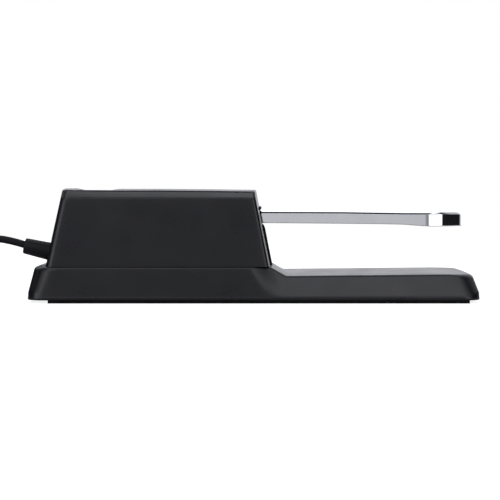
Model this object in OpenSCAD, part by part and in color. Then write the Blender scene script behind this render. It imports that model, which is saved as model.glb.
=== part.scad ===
// Piano-style sustain pedal: a moulded base and housing, a chromed lever on a
// sprung pivot, a switch inside, and a thin lead that ends in a 6.35 mm plug.
// Millimetres. X runs from the cord end to the lever's tip, Y across, Z up.
// The origin is on the floor, in the middle of the base.

/* [Base] */
// Length of the base over its lip
base_length = 240; // [238:1:244]
// Width of the base over its lip
base_width = 90; // [90:1:94]
// Thickness of the rubber sole under the base
sole_thickness = 1.65; // [1.4:0.05:1.8]
// Thickness of the steel bottom plate
plate_thickness = 1.6; // [1.2:0.1:1.6]
// Wall of the moulded base and housing
shell_wall = 2.4; // [2:0.1:2.6]

/* [Housing] */
// Height of the crown of the housing above the floor
housing_top_z = 60; // [60:0.5:63]
// Height of the seam between base and housing
seam_z = 19.1; // [18.6:0.1:19.1]
// Width of the slot that the lever comes out of
slot_width = 48; // [46:1:50]
// Height of the top of that slot
slot_top_z = 48.8; // [48.8:0.1:50]

/* [Lever] */
// Height of the lever's ridge at rest
lever_top_z = 48.2; // [47.8:0.1:48.2]
// Width of the lever at its pivot
lever_root_width = 30.8; // [30:0.1:30.8]
// Width of the lever where it leaves the housing
lever_neck_width = 34; // [32:1:38]
// Width of the lever's round end
lever_tip_width = 44; // [40:1:46]
// Wall of the pressed lever
lever_wall = 2; // [1.6:0.1:2.2]

/* [Pivot] */
// Diameter of the pivot shaft
shaft_d = 6; // [5:0.5:6]
// Radial clearance between the shaft and its bushes
bush_clearance = 0.05; // [0.02:0.01:0.1]

/* [Spring] */
// Wire diameter of the return spring
spring_wire_d = 1.8; // [1.4:0.1:2]
// Mean diameter of the return spring
spring_mean_d = 14; // [13:0.5:15]
// Number of turns of the return spring
spring_turns = 8; // [6:1:9]

/* [Cord] */
// Diameter of the lead
cord_d = 3.8; // [3.6:0.1:3.8]
// Layers of turns in the stored coil
coil_layers = 4; // [3:1:4]
// Turns side by side in each layer of the stored coil
coil_columns = 3; // [2:1:3]
// Diameter of the coil at the middle of its turns
coil_mean_d = 45; // [42:1:45]
// Diameter of the plug's shaft
plug_d = 6.35; // [6.2:0.05:6.4]

/* [Hidden] */
$fn = 96;

BLACK = [0.07, 0.07, 0.08];
RUBBER = [0.03, 0.03, 0.03];
STEEL = [0.62, 0.63, 0.65];
CHROME = [0.85, 0.86, 0.88];
NYLON = [0.88, 0.87, 0.82];
BOARD_GREEN = [0.1, 0.35, 0.18];

// Base
half_l = base_length / 2;
half_w = base_width / 2;
lip_top_z = 3.6;
lip_bulge = 0.65;
rear_corner_r = 9;
front_corner_r = 9;
plate_top_z = sole_thickness + plate_thickness;
ledge_z = seam_z - 1.1;
wall_lean = 1.8;
tongue_rear_z = 14.3;
tongue_front_z = 15.1;
tongue_inset = 4;
ramp_top_x = 10.4;
ramp_foot_x = 19;
section_x = 12;
base_front_tilt = 19.6;
base_rear_tilt = 14;
end_barrel_r = 1000;

// Housing
shoulder_z = housing_top_z - 1;
bevel_z = housing_top_z - 4.5;
foot_half_w = half_w - 2.8;
bevel_half_w = half_w - 6;
shoulder_half_w = half_w - 10;
crown_r = (shoulder_half_w * shoulder_half_w + 1) / 2;
housing_front_x = 9.3;
housing_front_tilt = 11.4;
housing_front_r = 410;
housing_rear_x = -111.8;
housing_rear_tilt = 12.57;
housing_rear_r = 362;
groove_x = [-97.3, -95.6, -76, -72.3];
groove_z = 59.3;
slot_corner_r = 2.5;
slot_rim_w = 1.6;
slot_rim_h = 1.5;
post_r = 4;

// Screws: [x, y] of each
screw_r = 1.5;
screw_head_r = 3.2;
screw_head_h = 1.4;
screw_clear_r = 1.7;
screw_bite = 6;
housing_screw_xy = [for (x = [-94, -9], y = [-31, 31]) [x, y]];
tongue_screw_xy = [for (x = [40, 100], y = [-30, 30]) [x, y]];
mechanism_screw_xy = [[-6, 0], [-22, 0], [-40.5, -8], [-40.5, 8]];

// Pivot, brackets and stops
pivot = [-62, 0, 40];
shaft_r = shaft_d / 2;
sheet = 1.6;
ear_inner_y = 16.5;
ear_outer_y = ear_inner_y + sheet;
ear_r = 7.5;
ear_x = [-74, -50];
bush_r = 4;
bush_flange_r = 5.5;
bush_flange_t = 0.8;
clip_y = ear_outer_y + 0.5;
clip_t = 0.8;
clip_groove_r = shaft_r - 0.4;
clip_r = 5.5;
shaft_half = 21.2;
stop_half_w = 6;
stop_x = [-96, -82];
rivet_xy = [[-70, -10], [-70, 10], [-54, -10], [-54, 10], [-88, -3], [-88, 3]];
rivet_r = 1.5;

// Lever
lever_under_z = lever_top_z - 2.4;
lever_tail_x = -92;
lever_tip_centre_x = 91.8;
lever_crown_r = 222;
ear_floor_z = 33.6;

// Stops, spring and switch
pad_gap = 0.1;
pad_h = 3.4;
bumper_x = -6;
bumper_r = 6;
bumper_top_z = 39.1;
bumper_h = 6;
spring_x = -22;
spring_floor_z = 6.3;
spring_roof_z = lever_under_z - 2;
spring_flange_r = 9;
spigot_r = 5;
switch_x = -42;
board_z = 24.4;
board_t = 1.6;
board_x = [-50, -31];
board_half_w = 12;
tower_post_xy = [for (x = [-47.5, -33.5], y = [-9.5, 9.5]) [x, y]];
board_screw_xy = [[-47.5, 9.5], [-33.5, -9.5]];
switch_top_z = 37;
plunger_r = 2;
plunger_clearance = 0.08;
striker_h = 4;
plunger_top_z = lever_under_z - striker_h - 0.15;

// Cord: exit from the housing, and the route of each stretch that isn't coiled
exit_point = [-110.3, 0, 25.9];
relief_length = 15.9;
relief_r = [4.7, 4.1];
wire_r = 0.6;
coil_x = -186;
tie_thickness = 0.6;
tie_width = 9;
coil_in_r = coil_mean_d / 2 - coil_columns * cord_d / 2;
coil_out_r = coil_mean_d / 2 + coil_columns * cord_d / 2;
coil_h = coil_layers * cord_d;
plug_z = 6;
plug_x = -216;
plug_y = 26.3;
boot_length = 10;
handle_length = 30;
handle_r = 6;
shaft_length = 21.5;
ring_length = 1.3;
LEAD_ROUTE = [[-125.8, 0, 29.4], [-130, 0, 30.6], [-135, 0, 31.8], [-139.5, 0, 32.5],
    [-143.5, 0.3, 32.4], [-147.5, 1.2, 31.5], [-151.3, 3.3, 29.6], [-154.7, 6.4, 26.9],
    [-157.7, 10, 23.6], [-160.6, 13.6, 20.2], [-163.8, 16.9, 17.3], [-167.4, 19.6, 15.3],
    [-171, 21.8, 14.2], [-172.8, 22.8, 13.9]];
TAIL_ROUTE = [[-186, 26.3, 2.5], [-190, 26.3, 2.4], [-195, 26.3, 2.3], [-200, 26.3, 2.9],
    [-205, 26.3, 4.2], [-209, 26.3, 5.4], [-213, 26.3, 6], [-216, 26.3, 6]];
WIRE_ROUTE = [[-102.9, 1, 24.3], [-100.6, 2.6, 23.9], [-98.8, 5.6, 23.2], [-96.5, 8.8, 22.2],
    [-92, 10.2, 21], [-85, 10.5, 20], [-70, 9, 18], [-58, 6, 18], [-50.5, 4.5, 19.8],
    [-47, 4, 21.8], [-46, 4, 23.2], [-46, 4, 24.4]];

// Lays a YZ outline along X from x0 to x1
module along_x(x0, x1) {
    translate([x0, 0, 0])
        rotate([90, 0, 90])
            linear_extrude(x1 - x0) children();
}

// Lays an XZ outline along Y, half_y to each side
module along_y(half_y) {
    rotate([90, 0, 0])
        linear_extrude(2 * half_y, center = true) children();
}

// A wide cylinder on a leaning axis. Its face passes through (x, z) and bulges
// towards side, 1 for +X and -1 for -X, and leans inwards going up.
module barrel(x, z, tilt, r, side) {
    translate([x, 0, z])
        rotate([0, -side * tilt, 0])
            translate([-side * r, 0, 0])
                cylinder(r = r, h = 900, center = true, $fn = 200);
}

// Plan of the base, grown by g: round corners, and ends that bulge a little
module base_plan(g) {
    x1 = half_l - lip_bulge + g;
    y1 = half_w + g;
    ends = [[-1, rear_corner_r + g], [1, front_corner_r + g]];
    for (e = ends) {
        flat_half = y1 - e[1];
        bulge_r = (flat_half * flat_half + lip_bulge * lip_bulge) / (2 * lip_bulge);
        mirror([e[0] < 0 ? 1 : 0, 0]) {
            translate([-1, -y1]) square([x1 - e[1] + 1, 2 * y1]);
            translate([-1, -flat_half]) square([x1 + 1, 2 * flat_half]);
            for (s = [-1, 1])
                translate([x1 - e[1], s * flat_half]) circle(e[1]);
            intersection() {
                translate([x1 + lip_bulge - bulge_r, 0]) circle(bulge_r, $fn = 200);
                translate([x1 - 1, -flat_half]) square([lip_bulge + 1, 2 * flat_half]);
            }
        }
    }
}

// Outer form of the base above its lip
module base_body() {
    intersection() {
        linear_extrude(30) base_plan(-0.2);
        barrel(half_l - 0.4, lip_top_z, base_front_tilt, end_barrel_r, 1);
        barrel(0.4 - half_l, lip_top_z, base_rear_tilt, end_barrel_r, -1);
        along_y(half_w + 5) polygon([[-half_l, sole_thickness], [-half_l, ledge_z - 0.2],
            [-114.9, ledge_z], [-113.9, seam_z], [ramp_top_x, seam_z], [ramp_foot_x, tongue_rear_z],
            [103, tongue_front_z], [half_l, tongue_front_z], [half_l, sole_thickness]]);
        union() {
            along_x(-half_l, section_x) polygon([[-half_w, sole_thickness], [-half_w, lip_top_z],
                [wall_lean - half_w, ledge_z], [wall_lean + 0.9 - half_w, seam_z],
                [half_w - wall_lean - 0.9, seam_z], [half_w - wall_lean, ledge_z],
                [half_w, lip_top_z], [half_w, sole_thickness]]);
            along_x(section_x, half_l) polygon([[-half_w, sole_thickness], [-half_w, lip_top_z],
                [tongue_inset - half_w, tongue_front_z], [half_w - tongue_inset, tongue_front_z],
                [half_w, lip_top_z], [half_w, sole_thickness]]);
        }
    }
}

// Space inside the base: open below, and open above under the housing
module base_cavity() {
    inner_w = half_w - shell_wall - 0.2;
    intersection() {
        translate([0, 0, sole_thickness - 1]) linear_extrude(30) base_plan(-shell_wall - 0.4);
        union() {
            intersection() {
                along_x(3 - half_l, 5) polygon([[-inner_w, 0], [-inner_w, lip_top_z],
                    [wall_lean - inner_w, 16.5], [inner_w - wall_lean, 16.5],
                    [inner_w, lip_top_z], [inner_w, 0]]);
                along_y(half_w) polygon([[3 - half_l, 0], [3 - half_l, lip_top_z],
                    [7 - half_l, 16.5], [5, 16.5], [5, 0]]);
            }
            translate([11 - half_l, -38.4, 0]) cube([113, 76.8, 30]);
            intersection() {
                along_x(4, half_l) polygon([[-inner_w, 0], [-inner_w, lip_top_z],
                    [tongue_inset - inner_w, 11.9], [inner_w - tongue_inset, 11.9],
                    [inner_w, lip_top_z], [inner_w, 0]]);
                along_y(half_w) polygon([[4, 0], [4, 11.9], [half_l - 7.4, 11.9],
                    [half_l - 3, lip_top_z], [half_l - 3, 0]]);
            }
        }
    }
}

module rubber_sole() {
    color(RUBBER)
        difference() {
            translate([-108, 1.2 - half_w, 0])
                cube([221, base_width - 2.4, sole_thickness]);
            for (p = concat(housing_screw_xy, tongue_screw_xy, mechanism_screw_xy))
                translate([p[0], p[1], -1]) cylinder(r = screw_head_r + 0.8, h = 4);
        }
}

module bottom_plate() {
    color(STEEL)
        difference() {
            translate([0, 0, sole_thickness])
                linear_extrude(plate_thickness) base_plan(-shell_wall - 0.8);
            for (p = concat(housing_screw_xy, tongue_screw_xy, mechanism_screw_xy))
                translate([p[0], p[1], 0]) cylinder(r = screw_clear_r, h = 8);
            for (p = rivet_xy)
                translate([p[0], p[1], 0]) cylinder(r = rivet_r, h = 8);
        }
}

module base_shell() {
    color(BLACK)
        difference() {
            union() {
                difference() {
                    union() {
                        translate([0, 0, sole_thickness])
                            linear_extrude(lip_top_z - sole_thickness) base_plan(0);
                        base_body();
                    }
                    base_cavity();
                }
                for (p = tongue_screw_xy)
                    translate([p[0], p[1], plate_top_z]) cylinder(r = post_r, h = 9.5);
                for (x = [26, 55, 85])
                    translate([x, -30, plate_top_z + 3]) cube([shell_wall, 60, 6.5]);
            }
            for (p = tongue_screw_xy)
                translate([p[0], p[1], 0]) cylinder(r = screw_r, h = plate_top_z + screw_bite);
        }
}

// Form of the housing, shrunk by g, down to floor_z
module housing_form(g, floor_z) {
    intersection() {
        barrel(housing_front_x - g, 18.8, housing_front_tilt, housing_front_r - g, 1);
        barrel(housing_rear_x + g, seam_z, housing_rear_tilt, housing_rear_r - g, -1);
        along_x(-125, 20) intersection() {
            polygon([[g - foot_half_w, floor_z], [g - bevel_half_w, bevel_z],
                [0.7 * g - shoulder_half_w, shoulder_z - g],
                [0.7 * g - shoulder_half_w, housing_top_z - g], [0, housing_top_z - g],
                [shoulder_half_w - 0.7 * g, housing_top_z - g],
                [shoulder_half_w - 0.7 * g, shoulder_z - g],
                [bevel_half_w - g, bevel_z], [foot_half_w - g, floor_z]]);
            translate([0, housing_top_z - crown_r]) circle(crown_r - g, $fn = 200);
        }
    }
}

// Outline of the slot above floor_z, grown by g
module slot_outline(g, floor_z) {
    half = slot_width / 2 + g;
    corner_r = slot_corner_r + g;
    top = slot_top_z + g;
    translate([-half, floor_z]) square([2 * half, top - corner_r - floor_z]);
    translate([corner_r - half, floor_z]) square([2 * half - 2 * corner_r, top - floor_z]);
    for (s = [-1, 1])
        translate([s * (half - corner_r), top - corner_r]) circle(corner_r);
}

module upper_housing() {
    color(BLACK)
        difference() {
            union() {
                difference() {
                    union() {
                        housing_form(0, seam_z);
                        intersection() {
                            along_x(-4, 20) slot_outline(slot_rim_w, seam_z);
                            barrel(housing_front_x + slot_rim_h, 18.8, housing_front_tilt,
                                housing_front_r, 1);
                        }
                    }
                    housing_form(shell_wall, seam_z - 0.5);
                }
                for (p = housing_screw_xy)
                    translate([p[0], p[1], plate_top_z])
                        cylinder(r = post_r, h = shoulder_z - 1 - plate_top_z);
            }
            along_y(half_w) polygon([[groove_x[0], housing_top_z + 0.5],
                [groove_x[1], groove_z], [groove_x[2], groove_z],
                [groove_x[3], housing_top_z + 0.5]]);
            along_x(-6, 20) slot_outline(0, seam_z - 5);
            at_exit() translate([0, 0, -8]) cylinder(r = relief_r[0] + 0.1, h = 14);
            for (p = housing_screw_xy)
                translate([p[0], p[1], 0]) cylinder(r = screw_r, h = plate_top_z + screw_bite);
        }
}

// A self-tapping screw driven up through the bottom plate
module plate_screw() {
    translate([0, 0, sole_thickness - screw_head_h])
        difference() {
            cylinder(r = screw_head_r, h = screw_head_h);
            for (a = [0, 90])
                rotate([0, 0, a]) translate([-1.8, -0.35, -1]) cube([3.6, 0.7, 1.8]);
        }
    translate([0, 0, sole_thickness])
        cylinder(r = screw_r, h = plate_thickness + screw_bite - 0.5);
}

module housing_screws() {
    color(STEEL) for (p = housing_screw_xy) translate([p[0], p[1], 0]) plate_screw();
}

module tongue_screws() {
    color(STEEL) for (p = tongue_screw_xy) translate([p[0], p[1], 0]) plate_screw();
}

module mechanism_screws() {
    color(STEEL) for (p = mechanism_screw_xy) translate([p[0], p[1], 0]) plate_screw();
}

// Steel channel that carries the pivot between two upright ears
module pivot_bracket() {
    color(STEEL)
        difference() {
            union() {
                translate([ear_x[0], -ear_outer_y, plate_top_z])
                    cube([ear_x[1] - ear_x[0], 2 * ear_outer_y, sheet]);
                for (s = [-1, 1])
                    translate([0, s * (ear_inner_y + sheet / 2), 0])
                        along_y(sheet / 2) {
                            polygon([[ear_x[0], plate_top_z], [ear_x[1], plate_top_z],
                                [pivot[0] + ear_r, pivot[2]], [pivot[0] - ear_r, pivot[2]]]);
                            translate([pivot[0], pivot[2]]) circle(ear_r);
                        }
            }
            translate(pivot) rotate([90, 0, 0]) cylinder(r = bush_r, h = 60, center = true);
            for (p = rivet_xy) translate([p[0], p[1], 0]) cylinder(r = rivet_r, h = 12);
        }
}

// Steel step that holds the rubber pad under the lever's tail
module stop_bracket() {
    top = lever_under_z - pad_gap - pad_h;
    color(STEEL)
        difference() {
            along_y(stop_half_w) polygon([[stop_x[0], plate_top_z], [stop_x[1], plate_top_z],
                [stop_x[1], plate_top_z + sheet], [stop_x[0] + sheet, plate_top_z + sheet],
                [stop_x[0] + sheet, top - sheet], [stop_x[1], top - sheet], [stop_x[1], top],
                [stop_x[0], top]]);
            for (p = rivet_xy) translate([p[0], p[1], 0]) cylinder(r = rivet_r, h = 12);
        }
}

module bracket_rivets() {
    color(STEEL)
        for (p = rivet_xy)
            translate([p[0], p[1], sole_thickness]) {
                cylinder(r = rivet_r, h = plate_thickness + sheet);
                translate([0, 0, plate_thickness + sheet]) cylinder(r = rivet_r + 1, h = 1);
            }
}

// Flanged bush in one ear of the bracket: side is -1 or 1
module pivot_bush(side) {
    color(NYLON)
        translate(pivot)
            rotate([-90 * side, 0, 0])
                difference() {
                    union() {
                        translate([0, 0, ear_inner_y]) cylinder(r = bush_r, h = sheet);
                        translate([0, 0, ear_inner_y - bush_flange_t])
                            cylinder(r = bush_flange_r, h = bush_flange_t);
                    }
                    cylinder(r = shaft_r + bush_clearance, h = 40);
                }
}

module pivot_bush_left() {
    pivot_bush(-1);
}

module pivot_bush_right() {
    pivot_bush(1);
}

module rest_stop_pad() {
    color(RUBBER)
        translate([-88, 0, lever_under_z - pad_gap - pad_h])
            linear_extrude(pad_h) square([9, 10], center = true);
}

module stop_post() {
    color(BLACK)
        translate([bumper_x, 0, plate_top_z])
            difference() {
                union() {
                    cylinder(r = bumper_r, h = bumper_top_z - bumper_h - plate_top_z);
                    translate([-4.5, -8, 0]) cube([10, 16, 3]);
                    translate([-1, -8, 0]) cube([2, 16, 16]);
                }
                translate([0, 0, -1]) cylinder(r = screw_r, h = screw_bite + 1);
                translate([0, 0, bumper_top_z - bumper_h - plate_top_z - 4])
                    cylinder(r = 2, h = 6);
            }
}

// Rubber buffer with a domed top and a stem that plugs into its post
module down_stop_bumper() {
    color(RUBBER)
        translate([bumper_x, 0, bumper_top_z - bumper_h]) {
            intersection() {
                cylinder(r = bumper_r, h = bumper_h);
                translate([0, 0, bumper_h - 20]) sphere(r = 20);
            }
            translate([0, 0, -4]) cylinder(r = 2, h = 4);
        }
}

module spring_seat() {
    color(NYLON)
        translate([spring_x, 0, plate_top_z])
            difference() {
                union() {
                    cylinder(r = spring_flange_r, h = spring_floor_z - plate_top_z);
                    cylinder(r = spigot_r, h = 9);
                }
                translate([0, 0, -1]) cylinder(r = screw_r, h = screw_bite + 1);
            }
}

module spring_cap() {
    color(NYLON)
        translate([spring_x, 0, spring_roof_z]) {
            cylinder(r = spring_flange_r, h = lever_under_z - spring_roof_z);
            translate([0, 0, -5]) cylinder(r = spigot_r, h = 5);
        }
}

// Faces that join rings of points into a closed tube
function tube_faces(rings, sides) = concat(
    [[for (k = [0 : sides - 1]) k]],
    [for (i = [0 : rings - 2], k = [0 : sides - 1])
        [i * sides + k, (i + 1) * sides + k, i * sides + (k + 1) % sides]],
    [for (i = [0 : rings - 2], k = [0 : sides - 1])
        [(i + 1) * sides + k, (i + 1) * sides + (k + 1) % sides, i * sides + (k + 1) % sides]],
    [[for (k = [sides - 1 : -1 : 0]) (rings - 1) * sides + k]]);

// Height of the spring's wire at turn t, with a closed flat turn at each end
function spring_z(t) =
    let (lo = spring_floor_z + spring_wire_d / 2,
        hi = spring_roof_z - spring_wire_d / 2,
        open = hi - lo - 2 * spring_wire_d)
    t < 1 ? lo + t * spring_wire_d
    : t > spring_turns - 1 ? hi - (spring_turns - t) * spring_wire_d
    : lo + spring_wire_d + open * (t - 1) / (spring_turns - 2);

module return_spring() {
    sides = 6;
    steps = 14;
    rings = spring_turns * steps + 1;
    color(STEEL)
        translate([spring_x, 0, 0])
            polyhedron(
                points = [for (i = [0 : rings - 1], k = [0 : sides - 1])
                    let (a = 360 * i / steps, b = 360 * k / sides,
                        r = spring_mean_d / 2 + spring_wire_d / 2 * cos(b))
                    [r * cos(a), r * sin(a),
                        spring_z(i / steps) + spring_wire_d / 2 * sin(b)]],
                faces = tube_faces(rings, sides));
}

module switch_tower() {
    color(BLACK)
        difference() {
            union() {
                translate([board_x[0], -board_half_w, plate_top_z])
                    cube([board_x[1] - board_x[0], 2 * board_half_w, 2]);
                for (p = tower_post_xy)
                    translate([p[0], p[1], plate_top_z])
                        cylinder(r = 2.4, h = board_z - plate_top_z);
                for (y = [-8, 8])
                    translate([-40.5, y, plate_top_z]) cylinder(r = 3.4, h = screw_bite + 1);
            }
            for (y = [-8, 8])
                translate([-40.5, y, 0]) cylinder(r = screw_r, h = plate_top_z + screw_bite);
            for (p = board_screw_xy)
                translate([p[0], p[1], board_z - 7]) cylinder(r = 1.1, h = 8);
        }
}

module switch_board() {
    color(BOARD_GREEN)
        difference() {
            translate([board_x[0], -board_half_w, board_z])
                cube([board_x[1] - board_x[0], 2 * board_half_w, board_t]);
            for (p = board_screw_xy)
                translate([p[0], p[1], board_z - 1]) cylinder(r = 1.2, h = 4);
        }
}

module board_screws() {
    color(STEEL)
        for (p = board_screw_xy) {
            translate([p[0], p[1], board_z - 6]) cylinder(r = 1.1, h = 6 + board_t);
            translate([p[0], p[1], board_z + board_t]) cylinder(r = 2.1, h = 1.3);
        }
}

module switch_body() {
    color(BLACK)
        difference() {
            union() {
                translate([switch_x - 6, -6, board_z + board_t])
                    cube([12, 12, switch_top_z - 3 - board_z - board_t]);
                translate([switch_x, 0, switch_top_z - 3]) cylinder(r = 4, h = 3);
            }
            translate([switch_x, 0, board_z + board_t + 1])
                cylinder(r = plunger_r + plunger_clearance, h = 20);
        }
}

module switch_plunger() {
    color(NYLON)
        translate([switch_x, 0, 30]) {
            cylinder(r = plunger_r, h = plunger_top_z - 32);
            translate([0, 0, plunger_top_z - 32])
                intersection() {
                    cylinder(r = plunger_r, h = 2);
                    translate([0, 0, -1.6]) sphere(r = 3.6);
                }
        }
}

module striker() {
    color(NYLON)
        translate([switch_x, 0, lever_under_z - striker_h]) cylinder(r = 4.5, h = striker_h);
}

// Plan of the lever, shrunk by g: narrow at the pivot, flared to a round end
module lever_plan(g) {
    root_y = lever_root_width / 2 - g;
    neck_y = lever_neck_width / 2 - g;
    tip_r = lever_tip_width / 2 - g;
    x0 = lever_tail_x - g;
    polygon([[x0, -root_y], [-30, -root_y], [8, -neck_y], [lever_tip_centre_x, -tip_r],
        [lever_tip_centre_x, tip_r], [8, neck_y], [-30, root_y], [x0, root_y]]);
    translate([lever_tip_centre_x, 0]) circle(tip_r);
}

module pedal_lever() {
    tip_x = lever_tip_centre_x + lever_tip_width / 2;
    color(CHROME)
        difference() {
            intersection() {
                linear_extrude(60) lever_plan(0);
                along_y(30) polygon([[lever_tail_x, lever_top_z], [48, lever_top_z],
                    [80, lever_top_z - 0.4], [100, lever_top_z - 0.6], [108, lever_top_z - 1],
                    [tip_x, lever_top_z - 1.7], [tip_x, 39.9], [92, 39.9], [79, 40.7], [68, 41],
                    [47, 41.3], [9, 41.6], [-44, 41.6], [-50, ear_floor_z],
                    [-74, ear_floor_z], [-79, lever_under_z], [lever_tail_x, lever_under_z]]);
                translate([-100, 0, lever_top_z - lever_crown_r])
                    rotate([0, 90, 0]) cylinder(r = lever_crown_r, h = 260, $fn = 200);
            }
            translate([0, 0, lever_under_z - 30]) linear_extrude(30) lever_plan(lever_wall);
            translate(pivot)
                rotate([90, 0, 0])
                    cylinder(r = shaft_r + 0.02, h = 60, center = true);
        }
}

module pivot_shaft() {
    color(STEEL)
        translate(pivot)
            rotate([90, 0, 0])
                difference() {
                    cylinder(r = shaft_r, h = 2 * shaft_half, center = true);
                    for (s = [-1, 1])
                        translate([0, 0, s * (clip_y + clip_t / 2)])
                            difference() {
                                cylinder(r = shaft_r + 1, h = clip_t, center = true);
                                cylinder(r = clip_groove_r, h = clip_t + 1, center = true);
                            }
                }
}

// Retaining clip in the shaft's groove: side is -1 or 1
module shaft_clip(side) {
    color(STEEL)
        translate(pivot)
            rotate([-90 * side, 0, 0])
                translate([0, 0, clip_y])
                    linear_extrude(clip_t)
                        difference() {
                            circle(clip_r);
                            circle(clip_groove_r);
                            translate([0, -1.8]) square([10, 3.6]);
                        }
}

module shaft_clip_left() {
    shaft_clip(-1);
}

module shaft_clip_right() {
    shaft_clip(1);
}

// Puts +Z along the cord where it leaves the rear face
module at_exit() {
    translate(exit_point) rotate([0, housing_rear_tilt - 90, 0]) children();
}

module strain_relief() {
    inside = shell_wall + 0.15;
    color(RUBBER)
        at_exit()
            rotate_extrude()
                polygon([[0, -inside - 5], [3, -inside - 5], [3, -inside - 2],
                    [6.1, -inside - 2], [6.1, -inside], [relief_r[0], -inside], [relief_r[0], 1],
                    [relief_r[0], 5], [relief_r[1], relief_length], [0, relief_length]]);
}

// Direction of a route at its point i
function heading(route, i) =
    let (d = route[min(i + 1, len(route) - 1)] - route[max(i - 1, 0)]) d / norm(d);

// Sweeps a round tube along a route that never runs along Y
module tube(route, r, sides) {
    polyhedron(
        points = [for (i = [0 : len(route) - 1], k = [0 : sides - 1])
            let (t = heading(route, i), c = cross(t, [0, 1, 0]), u = c / norm(c),
                v = cross(t, u), a = 360 * k / sides)
            route[i] + r * (cos(a) * u + sin(a) * v)],
        faces = tube_faces(len(route), sides));
}

module signal_wire() {
    color("red") tube(WIRE_ROUTE, wire_r, 8);
}

module ground_wire() {
    color(BLACK) tube([for (p = WIRE_ROUTE) [p[0], -p[1], p[2]]], wire_r, 8);
}

module cord_lead() {
    color(BLACK) tube(LEAD_ROUTE, cord_d / 2, 8);
}

module cord_coil() {
    color(BLACK)
        translate([coil_x, 0, tie_thickness])
            rotate_extrude()
                translate([coil_in_r, 0]) square([coil_out_r - coil_in_r, coil_h]);
}

module cord_tail() {
    color(BLACK) tube(TAIL_ROUTE, cord_d / 2, 8);
}

// Strap round the coil, on the side away from the tail
module cord_tie() {
    color(RUBBER)
        translate([coil_x, 0, 0])
            intersection() {
                rotate_extrude()
                    difference() {
                        translate([coil_in_r - tie_thickness, 0])
                            square([coil_out_r - coil_in_r + 2 * tie_thickness,
                                coil_h + 2 * tie_thickness]);
                        translate([coil_in_r, tie_thickness])
                            square([coil_out_r - coil_in_r, coil_h]);
                    }
                translate([-tie_width / 2, -40, -1]) cube([tie_width, 40, 40]);
            }
}

// Puts +Z along the plug, towards its tip, at a distance s from its rear end
module along_plug(s) {
    translate([plug_x - s, plug_y, plug_z]) rotate([0, -90, 0]) children();
}

module plug_handle() {
    color(BLACK)
        along_plug(0)
            rotate_extrude()
                polygon([[0, 0], [2.6, 0], [3.6, boot_length], [5.4, boot_length + 1],
                    [handle_r, boot_length + 4], [handle_r, boot_length + handle_length - 3],
                    [5.2, boot_length + handle_length], [0, boot_length + handle_length]]);
}

module plug_sleeve() {
    color(STEEL)
        along_plug(boot_length + handle_length)
            rotate_extrude()
                polygon([[0, 0], [4.2, 0], [4.2, 1], [plug_d / 2, 1],
                    [plug_d / 2, shaft_length], [0, shaft_length]]);
}

module plug_insulator() {
    color(BLACK)
        along_plug(boot_length + handle_length + shaft_length)
            cylinder(r = plug_d / 2 - 0.4, h = ring_length);
}

module plug_tip() {
    color(STEEL)
        along_plug(boot_length + handle_length + shaft_length + ring_length)
            rotate_extrude()
                polygon([[0, 0], [3, 0], [3, 1], [2.2, 3.2], [2.3, 3.8], [2.9, 4.6],
                    [2.8, 5.4], [1.2, 7.4], [0.5, 7.7], [0, 7.7]]);
}

rubber_sole();
bottom_plate();
base_shell();
upper_housing();
housing_screws();
tongue_screws();
mechanism_screws();
pivot_bracket();
stop_bracket();
bracket_rivets();
pivot_bush_left();
pivot_bush_right();
rest_stop_pad();
stop_post();
down_stop_bumper();
spring_seat();
return_spring();
spring_cap();
switch_tower();
switch_board();
board_screws();
switch_body();
switch_plunger();
striker();
pedal_lever();
pivot_shaft();
shaft_clip_left();
shaft_clip_right();
strain_relief();
signal_wire();
ground_wire();
cord_lead();
cord_coil();
cord_tail();
cord_tie();
plug_handle();
plug_sleeve();
plug_insulator();
plug_tip();
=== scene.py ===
"""The looks of a piano-style sustain pedal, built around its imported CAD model.

Shapes are worked out in millimetres, in the CAD frame: X towards the lever's tip, Y across, Z up.
They become metres when a mesh or curve is made.
"""

import math

import bmesh
import bpy
from mathutils import Matrix, Vector


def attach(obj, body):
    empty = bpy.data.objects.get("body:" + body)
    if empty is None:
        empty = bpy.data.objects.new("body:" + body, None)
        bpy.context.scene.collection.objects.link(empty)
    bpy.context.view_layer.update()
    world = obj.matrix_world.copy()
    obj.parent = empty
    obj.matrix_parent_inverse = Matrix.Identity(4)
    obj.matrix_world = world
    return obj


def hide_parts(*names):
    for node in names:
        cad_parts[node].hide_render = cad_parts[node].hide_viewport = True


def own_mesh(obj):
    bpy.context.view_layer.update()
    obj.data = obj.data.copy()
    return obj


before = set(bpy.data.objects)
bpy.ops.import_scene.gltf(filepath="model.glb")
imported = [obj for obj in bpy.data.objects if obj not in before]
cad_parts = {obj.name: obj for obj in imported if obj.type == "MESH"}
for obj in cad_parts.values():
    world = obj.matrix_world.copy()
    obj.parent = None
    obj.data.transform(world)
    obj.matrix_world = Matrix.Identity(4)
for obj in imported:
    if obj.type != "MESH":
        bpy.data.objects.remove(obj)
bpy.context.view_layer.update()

MM = 0.001
QUARTER = math.pi / 2

# Base
SOLE_TOP_Z = 1.65
LIP_TOP_Z = 3.4
WALL_FOOT_Z = 3.7
BASE_HALF_L = 120
BASE_HALF_W = 45
LIP_STEP = 0.25
# The end walls stand upright below END_FOOT_Z and lean above it. END_X is where their height is taken.
END_FOOT_Z = 5.4
END_X = 118
END_STEP = 0.08
# The front wall stops a little short of the CAD's
NOSE_TRIM = 0.35
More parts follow.
